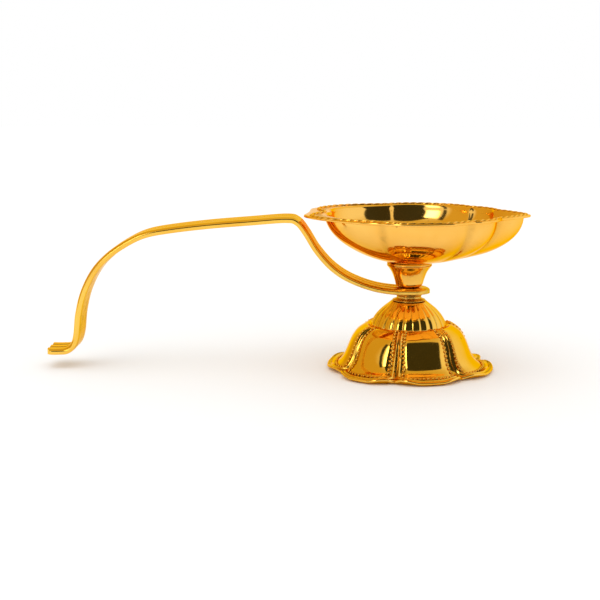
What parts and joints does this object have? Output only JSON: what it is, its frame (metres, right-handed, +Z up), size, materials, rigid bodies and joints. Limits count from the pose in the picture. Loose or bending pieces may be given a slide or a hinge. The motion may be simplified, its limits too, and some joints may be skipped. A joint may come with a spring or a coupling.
{
  "type": "flower diya oil lamp",
  "caption": "Hand-held brass oil lamp: a petalled bowl with a pointed spout and a long reeded strap handle, screwed to a low petalled stand.",
  "frame": {"origin": "On the table, below the middle of the whole outline; the lamp's screw axis is 60.88 mm along +X and 0.14 mm along +Y from it", "axes": "+X along the handle's line from the tail to the spout's side, +Z up, +Y across the handle"},
  "size_m": [0.2368, 0.0963, 0.0775],
  "materials": {
    "bowl_brass": "mirror polished",
    "stand_brass": "mirror polished, darker in the beading",
    "handle_brass": "polished along the reeds",
    "turned_brass": "lathe turned and polished",
    "inner_brass": "dull, as machined"
  },
  "bodies": {
    "stand": {"skirt": "stand_brass", "dome": "stand_brass", "clamp_washer": "inner_brass", "nut": "inner_brass"},
    "lift": {"collar": "turned_brass"},
    "diya": {"stem": "turned_brass", "neck_ring": "turned_brass", "stud": "inner_brass", "bowl": "bowl_brass"},
    "handle": {"handle": "handle_brass"}
  },
  "joints": [
    {"name": "screw_lift", "type": "slide", "parent": "stand", "child": "lift", "axis": [0, 0, 1], "range_m": [0, 0.0045]},
    {"name": "screw_turn", "type": "hinge", "parent": "lift", "child": "diya", "pos_m": [0.06088, 0.00014, 0.0343], "axis": [0, 0, 1], "range_deg": [0, 1620]},
    {"name": "handle_swing", "type": "hinge", "parent": "diya", "child": "handle", "pos_m": [0.06088, 0.00014, 0.03925], "axis": [0, 0, 1], "range_deg": [-140, 115]}
  ],
  "couplings": [
    {"joint": "screw_lift", "follows": "screw_turn", "m_per_rad": 0.00015915}
  ]
}
